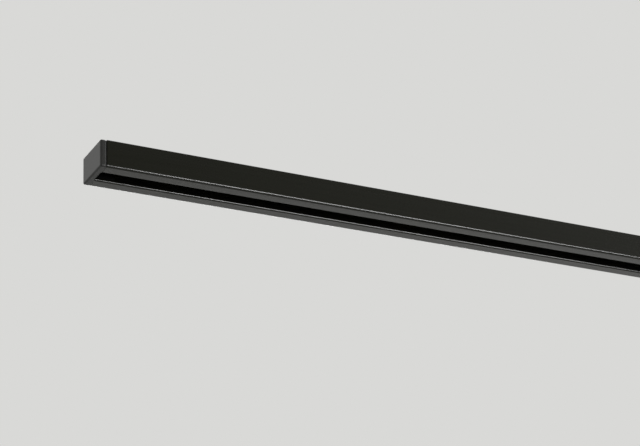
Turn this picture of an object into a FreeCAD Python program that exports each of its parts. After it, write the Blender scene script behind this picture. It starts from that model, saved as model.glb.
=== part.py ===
import FreeCAD
import Part
import math
import os

# A curtain track: an extruded rail with an end cap on each end, turn clips that hold it from above,
# and a row of gliders that hang the curtain.
# Frame: X along the rail, Y towards the back, Z up, all sizes in millimetres.
# The origin is on the mounting plane, on the axis of the middle clip's hole.

Vector = FreeCAD.Vector
X_AXIS = Vector(1, 0, 0)
Y_AXIS = Vector(0, 1, 0)
Z_AXIS = Vector(0, 0, 1)
ORIGIN = Vector(0, 0, 0)
SAME_PLACE = 1e-6  # two places closer than this are one
EDGE_SHARE = 1 / 3  # one rounded edge takes at most this share of its plate

# Rail extrusion
track_length = 1000.0  # over both end caps
rail_width = 20.4
side_wall = 1.3
bottom_lip = 1.3
glider_channel_height = 6.2
web = 1.2
clip_channel_height = 2.6
top_lip = 1.2
glider_slot = 8.0
clip_slot = 9.6
bottom_edge_radius = 1.1
top_edge_radius = 0.4
slot_edge_radius = 0.8

# End caps
cap_plate = 3.0
cap_edge_radius = 0.9  # round the outer face and at the plate's four corners
cap_groove_length = 0.9  # a bevel on the plate's front and back, at the joint with the rail
cap_groove_depth = 0.45
cap_slot_recess = 0.5  # the slot runs on into the plate by this much
cap_grip_length = 10.0  # how far the legs and the tongue reach into the rail
cap_leg_thickness = 2.0
cap_leg_lead_in = 0.8  # chamfer at the tip of each leg
cap_clearance = 0.1

# Turn clips
clip_end_distance = 67.0  # from each end of the track to the outer clips' hole axes
clip_boss_diameter = 11.0
clip_boss_height = 0.6
lever_thickness = 1.2
lever_head_diameter = 14.0
lever_reach = 24.0  # from the hole's axis to the centre of the rounded tip
lever_tip_radius = 4.6
lever_clearance = 0.2  # between the lever and the top of the rail
thumb_tab_length = 8.0
thumb_tab_reach = 4.0  # how far the tab stands out behind the rail
thumb_tab_radius = 1.5
wing_thickness = 2.0
wing_clearance = 0.15  # under the rail's top lips
wing_side_clearance = 0.6  # at each tip, to the side walls
neck_clearance = 0.3  # on each side, in the rail's top slot
screw_hole_diameter = 4.5
screw_head_diameter = 8.0

# Gliders
glider_count = 10
glider_length = 11.0
glider_wing_thickness = 1.8
glider_wing_corner = 2.0  # cut off each corner, so that the wings run past joints
glider_rib_width = 5.0
glider_rib_height = 1.6
glider_lip_clearance = 0.15
glider_side_clearance = 0.5
glider_neck_length = 7.0
glider_neck_clearance = 0.6  # on each side, in the slot
glider_neck_drop = 0.8  # how far the neck reaches below the rail
eye_hole_diameter = 5.0
eye_wall = 1.9
eye_bridge = 0.8  # between the neck's underside and the top of the eye's hole
eye_thickness = 3.2
parking_gap = 0.4  # between parked gliders, and to the end cap's legs

# Heights, worked down from the mounting plane at zero
lever_top = -clip_boss_height
lever_bottom = lever_top - lever_thickness
rail_top = lever_bottom - lever_clearance
top_lip_under = rail_top - top_lip
clip_channel_floor = top_lip_under - clip_channel_height
glider_channel_roof = clip_channel_floor - web
glider_channel_floor = glider_channel_roof - glider_channel_height
rail_bottom = glider_channel_floor - bottom_lip
rail_height = rail_top - rail_bottom

# Lengths and widths that several pieces share
channel_width = rail_width - 2 * side_wall
rail_length = track_length - 2 * cap_plate
rail_start = -rail_length / 2
rail_end = rail_length / 2


def rectangle_section(width, low, high):
    """A rectangle across the rail, centred on its middle plane, at X = 0."""
    corners = [
        Vector(0, -width / 2, low),
        Vector(0, width / 2, low),
        Vector(0, width / 2, high),
        Vector(0, -width / 2, high),
    ]
    return Part.Face(Part.makePolygon(corners + corners[:1]))


def block(x_low, x_high, y_low, y_high, z_low, z_high):
    """A box between two corners."""
    size = (x_high - x_low, y_high - y_low, z_high - z_low)
    return Part.makeBox(*size, Vector(x_low, y_low, z_low))


def edges_along_rail(shape, half_width, height):
    """The edges that run along X at one height, on both sides of the middle plane."""

    def matches(edge):
        middle = edge.BoundBox.Center
        runs_along = abs(edge.BoundBox.XLength - edge.Length) < SAME_PLACE
        at_side = abs(abs(middle.y) - half_width) < SAME_PLACE
        return runs_along and at_side and abs(middle.z - height) < SAME_PLACE

    return [edge for edge in shape.Edges if matches(edge)]


def make_rail():
    """The extrusion: a glider channel below, a clip channel above and one web between them."""
    section = rectangle_section(rail_width, rail_bottom, rail_top)
    openings = [
        rectangle_section(channel_width, glider_channel_floor, glider_channel_roof),
        rectangle_section(glider_slot, rail_bottom, glider_channel_floor),
        rectangle_section(channel_width, clip_channel_floor, top_lip_under),
        rectangle_section(clip_slot, top_lip_under, rail_top),
    ]
    section = section.cut(openings)
    rail = section.Faces[0].extrude(X_AXIS * rail_length)
    rail.translate(X_AXIS * rail_start)
    rail = rail.makeFillet(bottom_edge_radius, edges_along_rail(rail, rail_width / 2, rail_bottom))
    rail = rail.makeFillet(top_edge_radius, edges_along_rail(rail, rail_width / 2, rail_top))
    slot_edges = edges_along_rail(rail, glider_slot / 2, rail_bottom)
    slot_edges += edges_along_rail(rail, clip_slot / 2, rail_top)
    return rail.makeFillet(slot_edge_radius, slot_edges)


def make_left_cap():
    """A plate as wide and high as the rail, two side legs and a tongue that grip inside the rail."""
    outside = rail_start - cap_plate
    plate = rectangle_section(rail_width, rail_bottom, rail_top).extrude(X_AXIS * cap_plate)
    plate.translate(X_AXIS * outside)
    round_edges = edges_along_rail(plate, rail_width / 2, rail_bottom)
    round_edges += edges_along_rail(plate, rail_width / 2, rail_top)
    round_edges += [edge for edge in plate.Edges if abs(edge.BoundBox.XMax - outside) < SAME_PLACE]
    plate = plate.makeFillet(min(cap_edge_radius, cap_plate * EDGE_SHARE), round_edges)
    groove_corners = [
        Vector(rail_start - min(cap_groove_length, cap_plate * EDGE_SHARE), -rail_width / 2, rail_bottom),
        Vector(rail_start, -rail_width / 2, rail_bottom),
        Vector(rail_start, cap_groove_depth - rail_width / 2, rail_bottom),
    ]
    groove = Part.Face(Part.makePolygon(groove_corners + groove_corners[:1])).extrude(Z_AXIS * rail_height)
    recess = block(rail_start - cap_slot_recess, rail_start, -glider_slot / 2, glider_slot / 2,
                   rail_bottom, glider_channel_roof)
    plate = plate.cut([groove, groove.mirror(ORIGIN, Y_AXIS), recess])

    tip = rail_start + cap_grip_length
    leg_low = glider_channel_floor + cap_clearance
    leg_high = glider_channel_roof - cap_clearance
    leg_outer = channel_width / 2 - cap_clearance
    leg_inner = leg_outer - cap_leg_thickness
    leg = block(rail_start, tip, leg_inner, leg_outer, leg_low, leg_high)
    lead_in = [edge for edge in leg.Edges if abs(edge.BoundBox.XMin - tip) < SAME_PLACE
               and abs(edge.BoundBox.YMin - leg_outer) < SAME_PLACE]
    leg = leg.makeChamfer(cap_leg_lead_in, lead_in)
    other_leg = leg.mirror(ORIGIN, Y_AXIS)
    tongue_half = channel_width / 2 - cap_clearance
    tongue_low = clip_channel_floor + cap_clearance
    tongue_high = top_lip_under - cap_clearance
    tongue = block(rail_start, tip, -tongue_half, tongue_half, tongue_low, tongue_high)
    return plate.fuse([leg, other_leg, tongue]).removeSplitter()


def tangent_outline(big_radius, small_radius, distance):
    """A leaf outline: a large and a small circle along X, joined by their common tangents."""
    lean = math.acos((big_radius - small_radius) / distance)
    up = Vector(math.cos(lean), math.sin(lean), 0)
    down = Vector(up.x, -up.y, 0)
    small_centre = X_AXIS * distance
    edges = [
        Part.Arc(up * big_radius, X_AXIS * -big_radius, down * big_radius).toShape(),
        Part.makeLine(down * big_radius, small_centre + down * small_radius),
        Part.Arc(
            small_centre + down * small_radius,
            small_centre + X_AXIS * small_radius,
            small_centre + up * small_radius,
        ).toShape(),
        Part.makeLine(small_centre + up * small_radius, up * big_radius),
    ]
    return Part.Face(Part.Wire(edges))


def make_clip():
    """A turn clip on its hole's axis, locked: lever along the rail, wings across under its lips."""
    lever = tangent_outline(lever_head_diameter / 2, lever_tip_radius, lever_reach)
    lever = lever.extrude(Z_AXIS * lever_thickness)
    lever.translate(Z_AXIS * lever_bottom)
    tab_end = lever_reach + lever_tip_radius
    tab_edge = rail_width / 2 + thumb_tab_reach
    tab = block(tab_end - thumb_tab_length, tab_end, 0, tab_edge, lever_bottom, lever_top)
    tab_corners = [edge for edge in tab.Edges if abs(edge.BoundBox.ZLength - lever_thickness) < SAME_PLACE
                   and edge.BoundBox.YMin > tab_edge - SAME_PLACE]
    tab = tab.makeFillet(min(thumb_tab_radius, thumb_tab_length * EDGE_SHARE), tab_corners)
    boss = Part.makeCylinder(clip_boss_diameter / 2, clip_boss_height, Z_AXIS * lever_top)

    neck_radius = clip_slot / 2 - neck_clearance
    wing_top = top_lip_under - wing_clearance
    wing_bottom = wing_top - wing_thickness
    wing_radius = channel_width / 2 - wing_side_clearance
    neck = Part.makeCylinder(neck_radius, lever_bottom - wing_top, Z_AXIS * wing_top)
    wings = Part.makeCylinder(wing_radius, wing_thickness, Z_AXIS * wing_bottom)
    wing_band = block(-neck_radius, neck_radius, -wing_radius, wing_radius, wing_bottom, wing_top)
    wings = wings.common(wing_band)

    hole_radius = screw_hole_diameter / 2
    head_radius = screw_head_diameter / 2
    hole = Part.makeCylinder(hole_radius, -wing_bottom, Z_AXIS * wing_bottom)
    countersink = Part.makeCone(
        head_radius, hole_radius, head_radius - hole_radius, Z_AXIS * wing_bottom
    )
    clip = lever.fuse([tab, boss, neck, wings]).removeSplitter()
    return clip.cut([hole, countersink])


def make_glider():
    """A glider centred on X = 0: wings on the slot's lips, a neck through it and an eye below."""
    wing_low = glider_channel_floor + glider_lip_clearance
    wing_high = wing_low + glider_wing_thickness
    half_length = glider_length / 2
    wing_half = channel_width / 2 - glider_side_clearance
    wings = block(-half_length, half_length, -wing_half, wing_half, wing_low, wing_high)
    upright = [edge for edge in wings.Edges if edge.BoundBox.ZLength > edge.Length - SAME_PLACE]
    wings = wings.makeChamfer(glider_wing_corner, upright)
    rib_half = glider_rib_width / 2
    rib = block(-half_length, half_length, -rib_half, rib_half, wing_high,
                wing_high + glider_rib_height)

    neck_low = rail_bottom - glider_neck_drop
    neck_half = glider_slot / 2 - glider_neck_clearance
    neck_end = glider_neck_length / 2
    neck = block(-neck_end, neck_end, -neck_half, neck_half, neck_low, wing_low)

    hole_radius = eye_hole_diameter / 2
    eye_radius = hole_radius + eye_wall
    eye_start = Y_AXIS * (-eye_thickness / 2)
    eye_centre = Vector(0, eye_start.y, neck_low - eye_bridge - hole_radius)
    eye = Part.makeCylinder(eye_radius, eye_thickness, eye_centre, Y_AXIS)
    eye = eye.cut(block(-eye_radius, eye_radius, -eye_thickness, eye_thickness,
                        neck_low, neck_low + eye_radius))
    hole = Part.makeCylinder(hole_radius, eye_thickness, eye_centre, Y_AXIS)
    glider = wings.fuse([rib, neck, eye]).removeSplitter()
    return glider.cut(hole)


def moved(shape, x):
    """A copy of a shape, further along the rail."""
    copy = shape.copy()
    copy.translate(X_AXIS * x)
    return copy


# The pieces, each in its place at rest
nodes = {"rail": make_rail()}

left_cap = make_left_cap()
nodes["end_cap_left"] = left_cap
nodes["end_cap_right"] = left_cap.mirror(ORIGIN, X_AXIS)

clip = make_clip()
outer_clip = track_length / 2 - clip_end_distance
nodes["ceiling_clip_left"] = moved(clip, -outer_clip)
nodes["ceiling_clip_middle"] = clip
nodes["ceiling_clip_right"] = moved(clip, outer_clip)

# All gliders are parked at the right, numbered from the one beside the end cap
glider = make_glider()
glider_pitch = glider_length + parking_gap
first_glider = rail_end - cap_grip_length - parking_gap - glider_length / 2
for number in range(glider_count):
    name = "glider_%02d" % (number + 1)
    nodes[name] = moved(glider, first_glider - number * glider_pitch)

os.makedirs("parts", exist_ok=True)
for name, shape in nodes.items():
    shape.exportStep("parts/%s.step" % name)
    print(name, "solids", len(shape.Solids), "valid", shape.isValid(), "volume", round(shape.Volume, 1))

# The run that is left for the gliders, shared evenly between their gaps
parked_length = glider_count * glider_pitch + parking_gap
free_run = rail_length - 2 * cap_grip_length - parked_length
print("rail", rail_bottom, "to", rail_top, "height", rail_height)
print("glider share of the free run", round(free_run / glider_count, 2))
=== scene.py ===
# %% [markdown]
# # A black curtain track
# The track is a slim aluminium extrusion with a slot along its underside. A moulded cap closes each end,
# turn clips hold it from above, and nylon gliders run in the slot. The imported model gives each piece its
# place and size, and this lesson models every piece again over it with rounded edges and real finishes.

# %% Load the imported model
import math

import bmesh
import bpy
from mathutils import Euler, Matrix, Vector


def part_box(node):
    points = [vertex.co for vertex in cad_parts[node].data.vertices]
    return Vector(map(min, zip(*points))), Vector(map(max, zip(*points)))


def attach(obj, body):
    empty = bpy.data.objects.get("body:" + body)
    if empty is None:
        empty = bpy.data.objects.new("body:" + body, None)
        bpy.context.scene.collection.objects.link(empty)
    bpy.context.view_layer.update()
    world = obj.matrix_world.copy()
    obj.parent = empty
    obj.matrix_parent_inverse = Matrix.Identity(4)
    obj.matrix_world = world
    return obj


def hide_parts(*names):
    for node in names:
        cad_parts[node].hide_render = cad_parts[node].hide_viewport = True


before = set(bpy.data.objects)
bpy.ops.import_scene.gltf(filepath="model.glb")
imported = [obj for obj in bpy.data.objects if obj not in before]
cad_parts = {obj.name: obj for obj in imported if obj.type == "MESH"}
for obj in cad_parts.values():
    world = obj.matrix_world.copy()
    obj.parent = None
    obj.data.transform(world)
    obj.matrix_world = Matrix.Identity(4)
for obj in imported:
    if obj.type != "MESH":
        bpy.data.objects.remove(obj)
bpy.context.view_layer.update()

MM = 0.001  # one unit is a metre here, and sizes are written in millimetres

# %% [markdown]
# ## The camera
# The photograph looks up at the track from below its left end. Seven numbers fix such a camera: where it
# stands, how it is turned, and its lens. They were found by fitting the straight edges of the extrusion,
# so the lower front corner of the left cap is the point that everything is measured from. The camera turns
# about Z to look along the rail, tips up, and rolls a little about its own line of sight.

# %% Camera at the photograph's viewpoint
camera_from_corner = Vector((-260.49, -663.27, -345.28)) * MM
camera_turn = math.radians(-28.623)
camera_tip = math.radians(90 + 23.967)  # an unturned camera looks straight down, so 90 degrees is level
camera_roll = math.radians(-2.959)
lens_mm = 107.35
sensor_mm = 36.0
nearest_view = 10 * MM

cap_low, cap_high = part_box("end_cap_left")
bpy.ops.object.camera_add()
camera = bpy.context.active_object
camera.name = "photo_camera"
camera.data.lens = lens_mm
camera.data.sensor_width = sensor_mm
camera.data.clip_start = nearest_view
aim = Euler((camera_tip, 0, camera_turn)).to_matrix() @ Euler((0, 0, camera_roll)).to_matrix()
camera.matrix_world = Matrix.Translation(cap_low + camera_from_corner) @ aim.to_4x4()
bpy.context.scene.camera = camera
print("camera at", [round(value, 3) for value in camera.matrix_world.translation])

# %% [markdown]
# ## Colours and nodes
# Paint colours are written as sRGB hex values, the way a colour picker shows them, and Blender's shaders
# work in linear light, so one function converts them. A second small function adds any shader node: it
# sets the node's properties, then fills its sockets with values or with links from other nodes.

# %% Helpers for materials
def linear(hex_colour):
    """Turn an sRGB hex colour into linear RGBA."""
    channels = [int(hex_colour[i:i + 2], 16) / 255 for i in (1, 3, 5)]
    return [c / 12.92 if c <= 0.04045 else ((c + 0.055) / 1.055) ** 2.4 for c in channels] + [1.0]


def add_node(tree, kind, sockets=None, **settings):
    """Add a node, set its properties, and set or link its input sockets."""
    node = tree.nodes.new(kind)
    for name, value in settings.items():
        setattr(node, name, value)
    for name, value in (sockets or {}).items():
        if isinstance(value, bpy.types.NodeSocket):
            tree.links.new(value, node.inputs[name])
        else:
            node.inputs[name].default_value = value
    return node


def new_material(name):
    """An empty node material with its output node and the object's own coordinates."""
    material = bpy.data.materials.new(name)
    material.use_nodes = True
    material.node_tree.nodes.clear()
    tree = material.node_tree
    place = add_node(tree, "ShaderNodeTexCoord").outputs["Object"]
    output = add_node(tree, "ShaderNodeOutputMaterial")
    return material, tree, place, output


middle_grey = "#808080"
print("the grey", middle_grey, "in linear light is", round(linear(middle_grey)[0], 3))

# %% [markdown]
# ## Black powder coat on extruded aluminium
# Powder is sprayed on the bare extrusion and baked, and it flows into a thin satin plastic skin. A metallic
# shader comes to mind for aluminium, but here light never reaches the metal, so the skin is a plain
# dielectric: face on it looks nearly black, and at a low angle it mirrors pale surroundings as grey, which
# is why the underside looks lighter than the front. The skin has a fine orange peel, and the extrusion's die
# leaves faint lines along the length, which show as streaks in the gloss.

# %% Powder-coated aluminium
peel_mm = 0.7  # the orange peel's bumps, drawn a little coarser than real so that they show
peel_strength = 0.05
streak_width_mm = 0.9
streak_length_mm = 160.0
mottle_mm = 45.0
coat_dark = "#121308"
coat_light = "#161709"
coat_smoothest = 0.225
coat_roughest = 0.255
black_specular = 0.45  # a touch under the 0.5 of a plain plastic
relief = 0.05 * MM  # how high the fine bumps of all these finishes stand
plain_noise = 2.0  # layers of finer and finer noise
rich_noise = 3.0
noise_low = 0.3  # nearly all values of a noise texture lie between these two
noise_high = 0.7
mix_first = 6  # a mixing node has several sockets of one name, so its colours go by number
mix_second = 7
mix_result = 2

powder_coat, tree, place, output = new_material("powder_coated_aluminium")
peel = add_node(tree, "ShaderNodeTexNoise", {
    "Vector": place, "Scale": 1 / (peel_mm * MM), "Detail": plain_noise,
})
along = add_node(tree, "ShaderNodeMapping", {
    "Vector": place,
    "Scale": (1 / (streak_length_mm * MM), 1 / (streak_width_mm * MM), 1 / (streak_width_mm * MM)),
})
streaks = add_node(tree, "ShaderNodeTexNoise", {
    "Vector": along.outputs["Vector"], "Scale": 1.0, "Detail": rich_noise,
})
mottle = add_node(tree, "ShaderNodeTexNoise", {
    "Vector": place, "Scale": 1 / (mottle_mm * MM), "Detail": plain_noise,
})
tint = add_node(tree, "ShaderNodeMix", {
    0: mottle.outputs["Fac"], mix_first: linear(coat_dark), mix_second: linear(coat_light),
}, data_type="RGBA")
gloss = add_node(tree, "ShaderNodeMapRange", {
    "Value": streaks.outputs["Fac"], "From Min": noise_low, "From Max": noise_high,
    "To Min": coat_smoothest, "To Max": coat_roughest,
})
bump = add_node(tree, "ShaderNodeBump", {
    "Height": peel.outputs["Fac"], "Strength": peel_strength, "Distance": relief,
})
coat = add_node(tree, "ShaderNodeBsdfPrincipled", {
    "Base Color": tint.outputs[mix_result],
    "Roughness": gloss.outputs["Result"],
    "Specular IOR Level": black_specular,
    "Normal": bump.outputs["Normal"],
})
tree.links.new(coat.outputs["BSDF"], output.inputs["Surface"])
print(powder_coat.name, "nodes", len(tree.nodes))

# %% [markdown]
# ## Black ABS with a moulded grain
# The caps come out of a mould whose outer half is spark-eroded, so the skin that shows has a fine even
# grain that scatters light. It looks a shade greyer and flatter than the coated rail beside it. The mould's
# core is polished, so the faces that go into the rail are smooth and glossier. Their colour is painted much
# darker than the outer skin, as painted shade, because they lie in the shadow inside the slot. One function
# makes both, because they differ only in shade, roughness and strength of grain.

# %% Moulded ABS
grain_mm = 0.35  # about twice as coarse as the real grain, so that it shows


def black_abs(name, dark, light, roughness, grain_strength):
    """Black ABS whose grain breaks up its shade and, by its strength, its surface."""
    material, tree, place, output = new_material(name)
    grain = add_node(tree, "ShaderNodeTexNoise", {
        "Vector": place, "Scale": 1 / (grain_mm * MM), "Detail": rich_noise,
    })
    shade = add_node(tree, "ShaderNodeMix", {
        0: grain.outputs["Fac"], mix_first: linear(dark), mix_second: linear(light),
    }, data_type="RGBA")
    bump = add_node(tree, "ShaderNodeBump", {
        "Height": grain.outputs["Fac"], "Strength": grain_strength, "Distance": relief,
    })
    plastic = add_node(tree, "ShaderNodeBsdfPrincipled", {
        "Base Color": shade.outputs[mix_result],
        "Roughness": roughness,
        "Specular IOR Level": black_specular,
        "Normal": bump.outputs["Normal"],
    })
    tree.links.new(plastic.outputs["BSDF"], output.inputs["Surface"])
    return material


grained_abs = black_abs(
    "moulded_abs_grained", dark="#232321", light="#292927", roughness=0.44, grain_strength=0.12
)
# the polished copy is smoother, and its much darker colour is painted shade for the faces inside the slot
polished_abs_painted_shade = black_abs(
    "moulded_abs_polished_painted_shade", dark="#090908", light="#0C0C0B", roughness=0.3, grain_strength=0.02
)
print(grained_abs.name, polished_abs_painted_shade.name)

# %% [markdown]
# ## White acetal for the clips and black nylon for the gliders
# Both are slippery engineering plastics with a waxy satin skin. The white one lets a little light in, which
# softens its shadows. The melt leaves faint flow clouds in both, and the mould's steel leaves a fine even
# skin on every face. Two noise textures could change the shade and the gloss apart from each other, but both
# come from the same flow, so one texture drives them together.

# %% Waxy plastics
flow_mm = 6.0
skin_mm = 0.4  # coarser than the real skin, so that it shows
skin_strength = 0.06
gloss_change = 0.04
inner_light = 0.15  # the share of light that goes in and comes out again


def waxy_plastic(name, dark, light, roughness, scatter_mm):
    """A moulded plastic with soft flow clouds; scatter_mm is how far light travels inside."""
    material, tree, place, output = new_material(name)
    clouds = add_node(tree, "ShaderNodeTexNoise", {
        "Vector": place, "Scale": 1 / (flow_mm * MM), "Detail": rich_noise,
    })
    shade = add_node(tree, "ShaderNodeMix", {
        0: clouds.outputs["Fac"], mix_first: linear(dark), mix_second: linear(light),
    }, data_type="RGBA")
    gloss = add_node(tree, "ShaderNodeMapRange", {
        "Value": clouds.outputs["Fac"], "From Min": noise_low, "From Max": noise_high,
        "To Min": roughness - gloss_change, "To Max": roughness + gloss_change,
    })
    skin = add_node(tree, "ShaderNodeTexNoise", {
        "Vector": place, "Scale": 1 / (skin_mm * MM), "Detail": plain_noise,
    })
    bump = add_node(tree, "ShaderNodeBump", {
        "Height": skin.outputs["Fac"], "Strength": skin_strength, "Distance": relief,
    })
    wax = add_node(tree, "ShaderNodeBsdfPrincipled", {
        "Base Color": shade.outputs[mix_result],
        "Roughness": gloss.outputs["Result"],
        "Normal": bump.outputs["Normal"],
        "Subsurface Weight": inner_light if scatter_mm else 0.0,
        "Subsurface Scale": scatter_mm * MM,
        "Subsurface Radius": (1.0, 1.0, 1.0),
    })
    tree.links.new(wax.outputs["BSDF"], output.inputs["Surface"])
    return material


white_acetal = waxy_plastic(
    "white_acetal_moulded", dark="#DCDCDE", light="#E9E9EA", roughness=0.38, scatter_mm=0.8
)
black_nylon = waxy_plastic(
    "black_nylon_moulded", dark="#1D1D1C", light="#262624", roughness=0.42, scatter_mm=0.0
)
print(white_acetal.name, black_nylon.name)

# %% [markdown]
# ## Tools for modelling by hand
# A piece starts as a primitive at its size and place. Edit-mode operators act on what is selected, so one
# helper selects faces, edges or points by a test on their place. Two more cut a mesh by planes and clear
# away the edges that such cuts leave on flat faces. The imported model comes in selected, so everything is
# deselected first.

# %% Helpers to start, select and cut
FLAT = math.radians(0.5)  # faces that lean apart by less than this count as one flat face


def begin(name):
    """Name the new primitive, put its place into its mesh and enter edit mode."""
    piece = bpy.context.active_object
    piece.name = name
    piece.data.name = name
    bpy.ops.object.transform_apply(location=True, rotation=True, scale=True)
    bpy.ops.object.mode_set(mode="EDIT")
    return piece


def select(piece, kind, test):
    """In edit mode, select only the faces, edges or points for which test(middle, item) is true."""
    bpy.ops.mesh.select_mode(type=kind)
    bpy.ops.mesh.select_all(action="DESELECT")
    mesh = bmesh.from_edit_mesh(piece.data)
    items = {"FACE": mesh.faces, "EDGE": mesh.edges, "VERT": mesh.verts}[kind]
    count = 0
    for item in items:
        corners = [item.co] if kind == "VERT" else [corner.co for corner in item.verts]
        middle = sum(corners, Vector()) / len(corners)
        if test(middle, item):
            item.select_set(True)
            count += 1
    mesh.select_flush_mode()
    bmesh.update_edit_mesh(piece.data)
    return count


def cut_across(axis, places):
    """Cut the whole mesh in edit mode by planes square to one axis."""
    normal = Vector((axis == "X", axis == "Y", axis == "Z"))
    for place in places:
        bpy.ops.mesh.select_all(action="SELECT")
        bpy.ops.mesh.bisect(plane_co=normal * place, plane_no=normal)


def merge_flat():
    """Remove the edges that cross flat faces, and the points left on straight edges."""
    bpy.ops.mesh.select_all(action="SELECT")
    bpy.ops.mesh.dissolve_limited(angle_limit=FLAT)


bpy.ops.object.select_all(action="DESELECT")
print("objects still selected", len(bpy.context.selected_objects))

# %% [markdown]
# ## The rail
# The real rail is pushed through a die, so its section is the same all along. The same idea works here: a
# plane across the rail is cut along the lines of its walls, the cells of the channels and slots are
# deleted, and what is left is extruded to length. A stack of boxes would give the walls too, but with seams
# where they meet, and this way the rail is one clean skin.

# %% Rail section
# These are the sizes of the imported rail's walls, lips and slots.
side_wall = 1.3 * MM
bottom_lip = 1.3 * MM
top_lip = 1.2 * MM
glider_channel_height = 6.2 * MM
web = 1.2 * MM
glider_slot = 8.0 * MM
clip_slot = 9.6 * MM

rail_low, rail_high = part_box("rail")
rail_width = rail_high.y - rail_low.y
rail_height = rail_high.z - rail_low.z
rail_length = rail_high.x - rail_low.x
channel_half = rail_width / 2 - side_wall
glider_floor = rail_low.z + bottom_lip
glider_roof = glider_floor + glider_channel_height
clip_floor = glider_roof + web
clip_roof = rail_high.z - top_lip


def add_section_plane():
    """Add a plane across the rail's left end, as wide and as high as the rail."""
    middle = (rail_low.x, 0, rail_low.z + rail_height / 2)
    bpy.ops.mesh.primitive_plane_add(size=1, location=middle, rotation=(0, math.radians(90), 0))
    bpy.context.active_object.scale = (rail_height, rail_width, 1)


def in_opening(middle, _):
    """True for a cell of the section that lies in a channel or a slot."""
    side = abs(middle.y)
    if middle.z < glider_floor:
        return side < glider_slot / 2
    if middle.z < glider_roof or clip_floor < middle.z < clip_roof:
        return side < channel_half
    return middle.z > clip_roof and side < clip_slot / 2


add_section_plane()
rail = begin("rail_dressed")
half_widths = (glider_slot / 2, clip_slot / 2, channel_half)
cut_across("Y", [side * half for half in half_widths for side in (-1, 1)])
cut_across("Z", [glider_floor, glider_roof, clip_floor, clip_roof])
removed = select(rail, "FACE", in_opening)
bpy.ops.mesh.delete(type="FACE")
merge_flat()
print("cells removed for channels and slots", removed)

# %% [markdown]
# ### Length and rounded edges
# The section is pulled to the rail's length, and then its long edges are rounded by bevels. Those thin
# strips matter more than anything else on the rail, because each one catches a line of light along the
# whole length, and a sharp edge would catch none. The edges are found by their distance from the rail's
# middle and their height. A bevel modifier would round them all alike, but the die has a radius for each.

# %% Rail length and edges
SAME = 0.01 * MM  # two places closer than this are one
WELD = 0.001 * MM  # points closer than this are merged
bottom_radius = 1.1 * MM
bottom_steps = 10
top_radius = 0.4 * MM
top_steps = 5
slot_radius = 0.8 * MM
glider_slot_steps = 8
clip_slot_steps = 6
inner_radius = 0.2 * MM
inner_steps = 3


def pull(vector):
    """Extrude the selected faces together along a vector."""
    bpy.ops.mesh.extrude_region_move(TRANSFORM_OT_translate={"value": vector})


def outward():
    """Close up double points and turn every face outwards."""
    bpy.ops.mesh.select_all(action="SELECT")
    bpy.ops.mesh.remove_doubles(threshold=WELD)
    bpy.ops.mesh.normals_make_consistent(inside=False)


def round_edges(piece, test, radius, steps):
    """Bevel the edges that pass the test; a profile of 0.5 makes the bevel a round arc."""
    count = select(piece, "EDGE", test)
    bpy.ops.mesh.bevel(offset=radius, offset_type="OFFSET", segments=steps, profile=0.5, affect="EDGES")
    return count


def same(one, other):
    """True where two places along an axis are one."""
    return abs(one - other) < SAME


def extent(edge, axis):
    """How far an edge goes along an axis."""
    return abs(getattr(edge.verts[0].co, axis) - getattr(edge.verts[1].co, axis))


def long_edge(half_width, height):
    """A test for edges that run along the rail at a distance from its middle and at a height."""

    def test(middle, edge):
        runs = extent(edge, "x") > rail_length / 2
        return runs and same(abs(middle.y), half_width) and same(middle.z, height)

    return test


bpy.ops.mesh.select_all(action="SELECT")
pull((rail_length, 0, 0))
outward()
rounded = round_edges(rail, long_edge(rail_width / 2, rail_low.z), bottom_radius, bottom_steps)
rounded += round_edges(rail, long_edge(rail_width / 2, rail_high.z), top_radius, top_steps)
rounded += round_edges(rail, long_edge(glider_slot / 2, rail_low.z), slot_radius, glider_slot_steps)
rounded += round_edges(rail, long_edge(glider_slot / 2, glider_floor), inner_radius, inner_steps)
rounded += round_edges(rail, long_edge(clip_slot / 2, rail_high.z), slot_radius, clip_slot_steps)
print("rail edges rounded", rounded)

# %% [markdown]
# ### Finishing a piece
# Every piece ends in the same way. Its rounded edges are shaded smooth up to an angle, the crease, past
# which an edge stays sharp. Normals weighted by face size then keep the large faces truly flat beside the
# small curved ones. The piece gets its material, rides on its body and takes the place of its node.

# %% Finish the rail
usual_crease = 35  # degrees


def apply_modifier(piece, kind, **settings):
    """Add a modifier to the piece and apply it."""
    bpy.context.view_layer.objects.active = piece
    modifier = piece.modifiers.new(kind.lower(), kind)
    for name, value in settings.items():
        setattr(modifier, name, value)
    bpy.ops.object.modifier_apply(modifier=modifier.name)


def finish_piece(piece, material, crease=usual_crease):
    """Leave edit mode, smooth the rounded edges, keep flat faces flat, and give the material."""
    bpy.ops.object.mode_set(mode="OBJECT")
    bpy.ops.object.select_all(action="DESELECT")
    piece.select_set(True)
    bpy.context.view_layer.objects.active = piece
    bpy.ops.object.shade_smooth_by_angle(angle=math.radians(crease))
    apply_modifier(piece, "WEIGHTED_NORMAL", mode="FACE_AREA", keep_sharp=True)
    piece.data.materials.clear()
    piece.data.materials.append(material)


def settle(piece, node, body):
    """Let the piece stand for a node and ride on its body."""
    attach(piece, body)
    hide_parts(node)


def open_edges(piece):
    """How many edges don't lie between exactly two faces, which is none on a closed shape."""
    mesh = bmesh.new()
    mesh.from_mesh(piece.data)
    count = sum(not edge.is_manifold for edge in mesh.edges)
    mesh.free()
    return count


finish_piece(rail, powder_coat)
settle(rail, "rail", "track")
print("rail faces", len(rail.data.polygons), "open edges", open_edges(rail))

# %% [markdown]
# ## The end caps
# A cap is a plate as wide and high as the rail, with two legs and a tongue behind it that push into the
# rail's channels. It starts as a plane at the joint: the whole plane is pulled outwards for the plate, and
# the cells of the legs and the tongue are pulled into the rail. So the cap is one skin, as the moulding is,
# and needs no boolean to join its parts.

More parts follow.
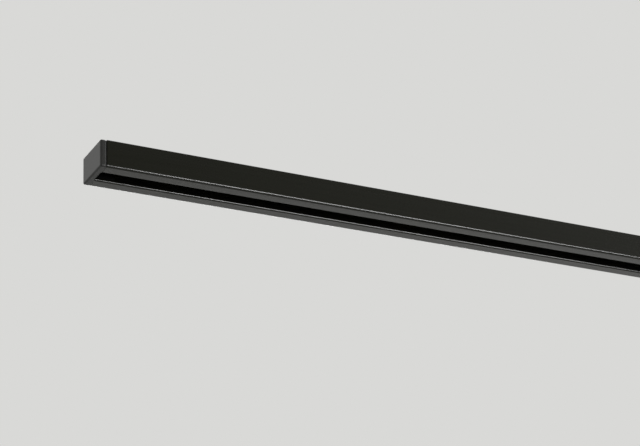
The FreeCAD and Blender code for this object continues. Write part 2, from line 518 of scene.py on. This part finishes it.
# %% Cap plate, legs and tongue
leg_thickness = 2.0 * MM
grip_gap = 0.1 * MM
cap_plate = rail_low.x - cap_low.x
grip_length = cap_high.x - rail_low.x
leg_outer = channel_half - grip_gap
leg_inner = leg_outer - leg_thickness
leg_low = glider_floor + grip_gap
leg_high = glider_roof - grip_gap
tongue_low = clip_floor + grip_gap
tongue_high = clip_roof - grip_gap


def lies_at(item, axis, place):
    """True for a face or an edge whose corners all lie at one place along an axis."""
    return all(same(getattr(corner.co, axis), place) for corner in item.verts)


def at_joint(item):
    """True for a face or an edge in the plane where the cap meets the rail."""
    return lies_at(item, "x", rail_low.x)


def is_leg(middle, face):
    """True for the inner cells that the two side legs grow from."""
    return at_joint(face) and leg_inner < abs(middle.y) < leg_outer and leg_low < middle.z < leg_high


def is_tongue(middle, face):
    """True for the inner cells that the tongue grows from."""
    return at_joint(face) and abs(middle.y) < leg_outer and tongue_low < middle.z < tongue_high


add_section_plane()
cap = begin("end_cap_left_dressed")
cut_across("Y", [side * place for place in (leg_inner, leg_outer) for side in (-1, 1)])
cut_across("Z", [leg_low, leg_high, tongue_low, tongue_high])
bpy.ops.mesh.select_all(action="SELECT")
pull((-cap_plate, 0, 0))
outward()
grown = select(cap, "FACE", is_leg)
pull((grip_length, 0, 0))
grown += select(cap, "FACE", is_tongue)
pull((grip_length, 0, 0))
merge_flat()
outward()
print("cells grown into legs and tongue", grown)

# %% [markdown]
# ### The cap's edges
# A long shallow bevel runs up the front and the back of the plate at the joint, so that the joint shows
# there as a groove with a light line beside it. A plain bevel is as long as it is deep, so its points on
# the plate's sides are then moved further from the joint. The outer rim and the corners are rounded, the
# legs get a lead-in at their tips, and the lower edge at the joint is only broken a little.

# %% Cap edges
groove_depth = 0.45 * MM
groove_length = 0.9 * MM
rim_radius = 0.9 * MM
rim_steps = 6
lead_in = 0.8 * MM
under_bevel = 0.12 * MM
plain_bevel = 1  # one flat step


def groove_edge(middle, edge):
    """True for the two upright edges of the plate at the joint."""
    return at_joint(edge) and abs(middle.y) > rail_width / 2 - SAME


def groove_point(middle, _):
    """True for the bevel's points away from the joint, as a plain bevel leaves them."""
    return same(middle.x, rail_low.x - groove_depth)


def outer_edge(_, edge):
    """True for the rim of the outer face and the edges along the plate's four corners."""
    on_rim = lies_at(edge, "x", cap_low.x)
    along = extent(edge, "x") > SAME
    beside = all(abs(corner.co.y) > rail_width / 2 - groove_depth - SAME for corner in edge.verts)
    level = lies_at(edge, "z", rail_low.z) or lies_at(edge, "z", rail_high.z)
    return on_rim or along and beside and level


def leg_tip(middle, edge):
    """True for the upright edges at the outer tips of the legs."""
    upright = extent(edge, "z") > (leg_high - leg_low) / 2
    return upright and middle.x > cap_high.x - SAME and same(abs(middle.y), leg_outer)


def under_edge(_, edge):
    """True for the plate's lower edge at the joint."""
    return at_joint(edge) and lies_at(edge, "z", rail_low.z)


bevelled = round_edges(cap, groove_edge, groove_depth, plain_bevel)
select(cap, "VERT", groove_point)
bpy.ops.transform.translate(value=(groove_depth - groove_length, 0, 0))
bevelled += round_edges(cap, outer_edge, rim_radius, rim_steps)
bevelled += round_edges(cap, leg_tip, lead_in, plain_bevel)
bevelled += round_edges(cap, under_edge, under_bevel, plain_bevel)
bpy.ops.object.mode_set(mode="OBJECT")
print("cap edges bevelled", bevelled)

# %% [markdown]
# ### Slot recess and polished core
# The slot runs on into the plate a little, so that its end doesn't show as a step. A boolean cuts that
# recess with a small block, because the rounded plate has no edges left to inset there. The faces that the
# mould's core forms, which are the legs, the tongue and the recess, get the polished finish, whose much
# darker colour is painted shade for where they sit in the dark slot.

# %% Slot recess and polished core
slot_recess = 0.5 * MM
cap_crease = 20  # degrees, low enough to keep the shallow groove crisp


def combine(piece, tool, operation):
    """Join a tool to the piece or cut it away, then remove the tool."""
    bpy.ops.object.mode_set(mode="OBJECT")
    apply_modifier(piece, "BOOLEAN", operation=operation, object=tool, solver="EXACT")
    bpy.data.objects.remove(tool)


def inside_rail(middle, _):
    """True for the faces of the legs, the tongue and the recess."""
    in_recess = abs(middle.y) < glider_slot / 2 + SAME and middle.x > rail_low.x - slot_recess - SAME
    return middle.x > rail_low.x - SAME or in_recess and middle.z > rail_low.z + SAME


recess_low = rail_low.z - rim_radius  # a little below the plate, so that the cut is clean
bpy.ops.mesh.primitive_cube_add(size=1, location=(rail_low.x, 0, (recess_low + glider_roof) / 2))
bpy.context.active_object.scale = (2 * slot_recess, glider_slot, glider_roof - recess_low)
recess = begin("recess_tool")
combine(cap, recess, "DIFFERENCE")
finish_piece(cap, grained_abs, crease=cap_crease)

# the faces inside the rail get the darker copy, whose colour is painted shade for the dark slot
cap.data.materials.append(polished_abs_painted_shade)
bpy.ops.object.mode_set(mode="EDIT")
polished_shaded_faces = select(cap, "FACE", inside_rail)
cap.active_material_index = len(cap.data.materials) - 1
bpy.ops.object.material_slot_assign()
bpy.ops.object.mode_set(mode="OBJECT")
settle(cap, "end_cap_left", "track")
print("cap faces", len(cap.data.polygons), "polished_shaded_faces", polished_shaded_faces, "open edges", open_edges(cap))

# %% [markdown]
# ### The right end cap
# Both ends take the same moulding. It is alike in front and behind, so it needs no mirrored copy: a plain
# copy is turned half round about the upright axis through the rail's middle. The turn goes into the copy's
# own mesh, so that the object itself stays at the origin, unturned.

# %% Right end cap
def copy_piece(piece, node, body, move):
    """Copy a finished piece with a mesh of its own, move that mesh, and let it stand for another node."""
    copy = piece.copy()
    copy.data = piece.data.copy()
    copy.name = node + "_dressed"
    copy.data.name = copy.name
    copy.parent = None
    bpy.context.scene.collection.objects.link(copy)
    copy.data.transform(move)
    settle(copy, node, body)
    return copy


half_turn = Matrix.Rotation(math.pi, 4, "Z")
right_cap = copy_piece(cap, "end_cap_right", "track", half_turn)
print("right cap's lowest corner in mm", [round(value / MM, 1) for value in right_cap.bound_box[0]])

# %% [markdown]
# ## The gliders
# A glider is moulded in one piece: two wings ride on the lips of the slot, a neck passes down through it,
# and an eye below takes a curtain hook. The body grows from a block: cuts mark out the rib on top and the
# neck below, and both are pulled out of it. A bevel modifier then breaks every sharp edge alike, as the
# mould does.

# %% Glider body
wing_thickness = 1.8 * MM
wing_corner = 2.0 * MM
rib_height = 1.6 * MM
rib_half = 2.5 * MM
neck_half_length = 3.5 * MM
neck_gap = 0.6 * MM  # on each side of the slot
neck_drop = 0.8 * MM  # below the rail
glider_edge = 0.25 * MM
soft_steps = 3
sharp_angle = math.radians(40)

glider_low, glider_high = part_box("glider_01")
glider_middle = (glider_low + glider_high) / 2
glider_length = glider_high.x - glider_low.x
neck_half_width = glider_slot / 2 - neck_gap
wing_top = glider_high.z - rib_height
wing_bottom = wing_top - wing_thickness
neck_bottom = rail_low.z - neck_drop


def is_rib(middle, _):
    """True for the cells on top that the rib grows from."""
    return same(middle.z, wing_top) and abs(middle.y) < rib_half


def is_neck(middle, _):
    """True for the cells below that the neck grows from."""
    beside = abs(middle.x - glider_middle.x) < neck_half_length and abs(middle.y) < neck_half_width
    return same(middle.z, wing_bottom) and beside


def wing_upright(middle, edge):
    """True for the upright edges at the wings' four corners."""
    upright = extent(edge, "z") > wing_thickness / 2
    return upright and abs(middle.y) > glider_high.y - SAME


bpy.ops.mesh.primitive_cube_add(size=1, location=(glider_middle.x, 0, (wing_top + wing_bottom) / 2))
bpy.context.active_object.scale = (glider_length, glider_high.y - glider_low.y, wing_thickness)
glider = begin("glider_01_dressed")
cut_across("X", [glider_middle.x - neck_half_length, glider_middle.x + neck_half_length])
cut_across("Y", [-neck_half_width, -rib_half, rib_half, neck_half_width])
select(glider, "FACE", is_rib)
pull((0, 0, rib_height))
select(glider, "FACE", is_neck)
pull((0, 0, neck_bottom - wing_bottom))
merge_flat()
outward()
round_edges(glider, wing_upright, wing_corner, plain_bevel)
bpy.ops.object.mode_set(mode="OBJECT")
apply_modifier(
    glider, "BEVEL", width=glider_edge, segments=soft_steps, limit_method="ANGLE", angle_limit=sharp_angle
)
print("glider body faces", len(glider.data.polygons))

# %% [markdown]
# ### The glider's eye
# The eye is a thick ring. A torus would make it too round, so it is a disc whose two faces are inset and
# bridged through to each other, which opens the hole. Its rims are rounded while it is still a plain ring,
# and a boolean joins it to the neck.

# %% Glider eye
eye_points = 48
eye_hole_radius = 2.5 * MM
eye_wall = 1.9 * MM
eye_thickness = 3.2 * MM
eye_round = 0.6 * MM
moulded_crease = 40  # degrees
eye_radius = eye_hole_radius + eye_wall


def from_eye_axis(point):
    """A point's distance from the axis of the eye."""
    return math.hypot(point.x - glider_middle.x, point.z - glider_low.z - eye_radius)


def eye_rim(middle, edge):
    """True for the edges round the ring's two faces, and not for those across them."""
    on_face = same(abs(middle.y), eye_thickness / 2)
    return on_face and same(from_eye_axis(edge.verts[0].co), from_eye_axis(edge.verts[1].co))


bpy.ops.mesh.primitive_cylinder_add(
    vertices=eye_points, radius=eye_radius, depth=eye_thickness,
    location=(glider_middle.x, 0, glider_low.z + eye_radius), rotation=(math.radians(90), 0, 0),
)
eye = begin("eye_tool")
select(eye, "FACE", lambda _, face: len(face.verts) == eye_points)
bpy.ops.mesh.inset(thickness=eye_wall, use_individual=True)
bpy.ops.mesh.bridge_edge_loops()
outward()
rounded = round_edges(eye, eye_rim, eye_round, soft_steps)
combine(glider, eye, "UNION")
finish_piece(glider, black_nylon, crease=moulded_crease)
print("eye edges rounded", rounded, "faces", len(glider.data.polygons), "open edges", open_edges(glider))

# %% [markdown]
# ### The parked row
# At rest the gliders stand pushed together at one end, as they do when the curtain is drawn aside. Each
# copy moves by the distance between the boxes of its node and of the first glider, so that the row follows
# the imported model.

# %% Parked gliders
glider_nodes = sorted(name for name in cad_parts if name.startswith("glider_"))
settle(glider, glider_nodes[0], glider_nodes[0])
for name in glider_nodes[1:]:
    along_row = Matrix.Translation((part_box(name)[0].x - glider_low.x, 0, 0))
    copy_piece(glider, name, name, along_row)
print("gliders", len(glider_nodes), "from", glider_nodes[0], "to", glider_nodes[-1])

# %% [markdown]
# ## The turn clips
# A clip is fixed through its one hole and holds the rail from above. Its lever is a leaf-shaped plate, and
# two wings on a round neck lock under the rail's top lips when the lever is turned in line with the rail.
# The leaf could be drawn point by point, but a disc with one half made smaller and moved away is quicker:
# both ends stay round, and the two edges between them come out tangent.

# %% Clip lever
circle_points = 96
head_radius = 7.0 * MM
tip_radius = 4.6 * MM
lever_thickness = 1.2 * MM
boss_height = 0.6 * MM
overlap = 0.3 * MM  # forms that are joined or cut run past each other by this much

clip_low, clip_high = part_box("ceiling_clip_middle")
lever_reach = clip_high.x - tip_radius
lever_top = clip_high.z - boss_height
lever_bottom = lever_top - lever_thickness
lean = math.acos((head_radius - tip_radius) / lever_reach)  # where the straight edges touch the head
shrink = tip_radius / head_radius

bpy.ops.mesh.primitive_circle_add(
    vertices=circle_points, radius=head_radius, fill_type="NGON", location=(0, 0, lever_bottom - overlap)
)
clip = begin("ceiling_clip_middle_dressed")
select(clip, "VERT", lambda middle, _: middle.x > head_radius * math.cos(lean))
bpy.ops.transform.resize(value=(shrink, shrink, 1), center_override=(0, 0, 0))
bpy.ops.transform.translate(value=(lever_reach, 0, 0))
bpy.ops.mesh.select_all(action="SELECT")
pull((0, 0, lever_thickness + 2 * overlap))
outward()
bpy.ops.object.mode_set(mode="OBJECT")
print("lever reaches", round(clip.bound_box[6][0] / MM, 1), "mm from the hole's axis")

# %% [markdown]
# ### Thumb tab and rounded rim
# The tab is a block with two round corners, joined to the leaf by a boolean. Two forms with flat tops at
# one height confuse a boolean, so the leaf is made too thick, the tab thicker still, and both are sliced to
# the lever's thickness once they are one. That leaves a clean outline, and its rim is rounded above and
# below.

# %% Thumb tab and rim
tab_length = 8.0 * MM
tab_corner = 1.5 * MM
tab_steps = 6
clip_edge = 0.2 * MM


def slice_off(point, outside):
    """Cut the mesh in edit mode by a plane, remove what lies outside it and close the cut."""
    bpy.ops.mesh.select_all(action="SELECT")
    bpy.ops.mesh.bisect(plane_co=point, plane_no=outside, use_fill=True, clear_outer=True)


def level_at(*heights):
    """A test for edges or faces that lie level at one of the given heights."""

    def test(_, item):
        return any(lies_at(item, "z", height) for height in heights)

    return test


def tab_upright(middle, edge):
    """True for the two upright edges at the tab's free end."""
    return extent(edge, "z") > SAME and middle.y > clip_high.y - SAME


tab_middle = (clip_high.x - tab_length / 2, clip_high.y / 2, (lever_top + lever_bottom) / 2)
bpy.ops.mesh.primitive_cube_add(size=1, location=tab_middle)
bpy.context.active_object.scale = (tab_length, clip_high.y, lever_thickness + 4 * overlap)
tab = begin("tab_tool")
round_edges(tab, tab_upright, tab_corner, tab_steps)
combine(clip, tab, "UNION")
bpy.ops.object.mode_set(mode="EDIT")
slice_off((0, 0, lever_top), (0, 0, 1))
slice_off((0, 0, lever_bottom), (0, 0, -1))
merge_flat()
outward()
rim = round_edges(clip, level_at(lever_top, lever_bottom), clip_edge, soft_steps)
bpy.ops.object.mode_set(mode="OBJECT")
print("rim edges rounded", rim, "open edges", open_edges(clip))

# %% [markdown]
# ### Boss, neck and wings
# These are discs on the hole's axis. The wings are a disc with two sides sliced off, so that they pass
# through the slot one way round and lock the other way. The boss and the wings are rounded before they are
# joined on, because a bevel is much easier on a plain disc than on the finished clip.

# %% Boss, neck and wings
boss_radius = 5.5 * MM
turn_gap = 0.3 * MM  # between the neck and the slot
wing_gap = 0.6 * MM  # between the wings' tips and the channel's walls
wing_extra = 0.05 * MM  # a hair more than the neck, so that the two don't meet in a line
clip_wing_thickness = 2.0 * MM
neck_radius = clip_slot / 2 - turn_gap
wing_radius = channel_half - wing_gap
wing_half_width = neck_radius + wing_extra
clip_wing_top = clip_low.z + clip_wing_thickness


def add_disc(radius, low, high):
    """A disc on the hole's axis between two heights, left in edit mode."""
    bpy.ops.mesh.primitive_cylinder_add(
        vertices=circle_points, radius=radius, depth=high - low, location=(0, 0, (low + high) / 2)
    )
    return begin("disc_tool")


boss = add_disc(boss_radius, lever_top - overlap, clip_high.z)
round_edges(boss, level_at(clip_high.z), clip_edge, soft_steps)
combine(clip, boss, "UNION")
neck = add_disc(neck_radius, clip_wing_top - overlap, lever_bottom + overlap)
combine(clip, neck, "UNION")
wings = add_disc(wing_radius, clip_low.z, clip_wing_top)
for side in (-1, 1):
    slice_off((side * wing_half_width, 0, 0), (side, 0, 0))
outward()
round_edges(wings, level_at(clip_low.z, clip_wing_top), clip_edge, soft_steps)
combine(clip, wings, "UNION")
print("clip faces", len(clip.data.polygons), "open edges", open_edges(clip))

# %% [markdown]
# ### The countersunk hole
# The clip is fixed from below, so its hole is countersunk in the face between the wings. One tool cuts it,
# a cone with its small end pulled out to a shank. Two tools that meet in a circle would leave slivers
# there.

# %% Countersunk hole
hole_radius = 2.25 * MM
sink_radius = 4.0 * MM
sink_depth = sink_radius - hole_radius
sink_top = clip_low.z + sink_depth

bpy.ops.mesh.primitive_cone_add(
    vertices=circle_points, radius1=sink_radius + overlap, radius2=hole_radius,
    depth=sink_depth + overlap, location=(0, 0, sink_top - (sink_depth + overlap) / 2),
)
hole = begin("hole_tool")
select(hole, "FACE", level_at(sink_top))
pull((0, 0, clip_high.z + overlap - sink_top))
combine(clip, hole, "DIFFERENCE")
finish_piece(clip, white_acetal, crease=moulded_crease)
print("clip faces", len(clip.data.polygons), "open edges", open_edges(clip))

# %% [markdown]
# ### Three clips along the rail
# A short track hangs from three clips, one near each end and one in the middle. The middle one was modelled
# round the origin, which makes its tools simple, and the other two are copies at the places of their nodes.

# %% The three clips in place
settle(clip, "ceiling_clip_middle", "ceiling_clip_middle")
for name in ("ceiling_clip_left", "ceiling_clip_right"):
    from_middle = Matrix.Translation((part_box(name)[0].x - clip_low.x, 0, 0))
    copy = copy_piece(clip, name, name, from_middle)
    print(copy.name, "at", round(from_middle.translation.x / MM, 1), "mm from the middle")

# %% [markdown]
# ## Floor
# The studio is plain: a pale floor some way below the track, a pale background and soft lamps. The floor is
# there for what the track mirrors and for the light that it throws up. It fades out towards its edge, and
# the camera looks through it, so that no horizon line shows from any side.

# %% Floor
floor_drop = 0.55  # metres, as all sizes of the studio are
floor_size = 9.0
floor_fade_start = 2.2
floor_fade_end = 4.2
floor_colour = "#B6B6B4"

bpy.ops.mesh.primitive_plane_add(size=floor_size, location=(0, 0, -floor_drop))
floor = bpy.context.active_object
floor.name = "studio_floor"
floor_paint, tree, place, output = new_material("pale_floor_paint")
distance = add_node(tree, "ShaderNodeVectorMath", {0: place}, operation="LENGTH")
fade = add_node(tree, "ShaderNodeMapRange", {
    "Value": distance.outputs["Value"], "From Min": floor_fade_start, "From Max": floor_fade_end,
})
paint = add_node(tree, "ShaderNodeBsdfDiffuse", {"Color": linear(floor_colour)})
clear = add_node(tree, "ShaderNodeBsdfTransparent")
path = add_node(tree, "ShaderNodeLightPath")
unseen = add_node(tree, "ShaderNodeMath", {
    0: fade.outputs["Result"], 1: path.outputs["Is Camera Ray"],
}, operation="MAXIMUM")
mix = add_node(tree, "ShaderNodeMixShader", {0: unseen.outputs[0], 1: paint.outputs[0], 2: clear.outputs[0]})
tree.links.new(mix.outputs[0], output.inputs["Surface"])
floor.data.materials.append(floor_paint)
print("floor", floor_size, "m wide,", floor_drop, "m below the track")

# %% [markdown]
# ## Background
# Camera and mirror rays see the background's pale grey, and only a soft even light from it falls on the
# track. The front of the rail mirrors the part that lies high up in front of it, and that part is dimmer,
# because a black front face would otherwise look grey from the photograph's viewpoint.

# %% Background
background_colour = "#D9D9D7"
dim_colour = "#6C6C63"
ambient_colour = "#FFFFFF"
ambient_strength = 0.45
dim_front_start = -0.45  # how far a direction leans to the front, along Y
dim_front_full = -0.85
dim_height_start = 0.08  # how far it leans up, along Z
dim_height_full = 0.32

world = bpy.data.worlds.new("studio")
world.use_nodes = True
bpy.context.scene.world = world
tree = world.node_tree
tree.nodes.clear()
path = add_node(tree, "ShaderNodeLightPath")
seen = add_node(tree, "ShaderNodeMath", {
    0: path.outputs["Is Camera Ray"], 1: path.outputs["Is Glossy Ray"],
}, operation="MAXIMUM")
seen = add_node(tree, "ShaderNodeMath", {
    0: seen.outputs[0], 1: path.outputs["Is Transmission Ray"],
}, operation="MAXIMUM")
direction = add_node(tree, "ShaderNodeTexCoord").outputs["Generated"]
axes = add_node(tree, "ShaderNodeSeparateXYZ", {"Vector": direction})
in_front = add_node(tree, "ShaderNodeMapRange", {
    "Value": axes.outputs["Y"], "From Min": dim_front_start, "From Max": dim_front_full,
})
high_up = add_node(tree, "ShaderNodeMapRange", {
    "Value": axes.outputs["Z"], "From Min": dim_height_start, "From Max": dim_height_full,
})
dim = add_node(tree, "ShaderNodeMath", {
    0: in_front.outputs["Result"], 1: high_up.outputs["Result"],
}, operation="MULTIPLY")
surroundings = add_node(tree, "ShaderNodeMix", {
    0: dim.outputs[0], mix_first: linear(background_colour), mix_second: linear(dim_colour),
}, data_type="RGBA")
ambient = add_node(tree, "ShaderNodeBackground", {
    "Color": linear(ambient_colour), "Strength": ambient_strength,
})
pale = add_node(tree, "ShaderNodeBackground", {"Color": surroundings.outputs[mix_result], "Strength": 1.0})
mix = add_node(tree, "ShaderNodeMixShader", {0: seen.outputs[0], 1: ambient.outputs[0], 2: pale.outputs[0]})
add_node(tree, "ShaderNodeOutputWorld", {"Surface": mix.outputs[0]})
print("background", background_colour, "ambient", ambient_strength)

# %% [markdown]
# ## Lamps
# Five soft boxes light the track, and each has one task. A low strip in front draws the light lines along
# the rounded edges, and as it is there only to be mirrored, it gives no diffuse light. The end face mirrors
# the left box, and the bevel beside the joint mirrors the right box. The wash lights the floor behind, which
# the underside mirrors, and the top box lights the whole track from above. The Standard view shows each
# colour about as it is written.

# %% Lamps
def soft_box(name, place, target, size, power):
    """A large area lamp that points at a target and stays out of the camera's sight."""
    bpy.ops.object.light_add(type="AREA", location=place)
    lamp = bpy.context.active_object
    lamp.name = name
    lamp.data.shape = "RECTANGLE"
    lamp.data.size, lamp.data.size_y = size
    lamp.data.energy = power
    lamp.visible_camera = False
    lamp.rotation_euler = (Vector(target) - Vector(place)).to_track_quat("-Z", "Y").to_euler()
    return lamp


track_middle = (0, 0, -0.01)
strip_target = (-0.02, 0, -0.01)
left_end = (-0.5, 0, -0.01)
floor_behind = (0.4, 1.2, -floor_drop)
strip = soft_box(
    "front_low_strip", place=(-0.02, -0.60, -0.21), target=strip_target, size=(0.50, 0.11), power=5.7
)
strip.visible_diffuse = False
soft_box("left_box", place=(-1.35, 1.27, 0.70), target=left_end, size=(0.9, 0.9), power=1.0)
soft_box("top_box", place=(0.2, -0.8, 1.9), target=track_middle, size=(2.0, 1.6), power=10)
soft_box("back_floor_wash", place=(0.6, 2.3, 1.0), target=floor_behind, size=(1.5, 1.0), power=48)
soft_box("right_box", place=(1.4, -0.50, 0.92), target=left_end, size=(1.0, 1.0), power=5.0)
scene = bpy.context.scene
scene.view_settings.view_transform = "Standard"
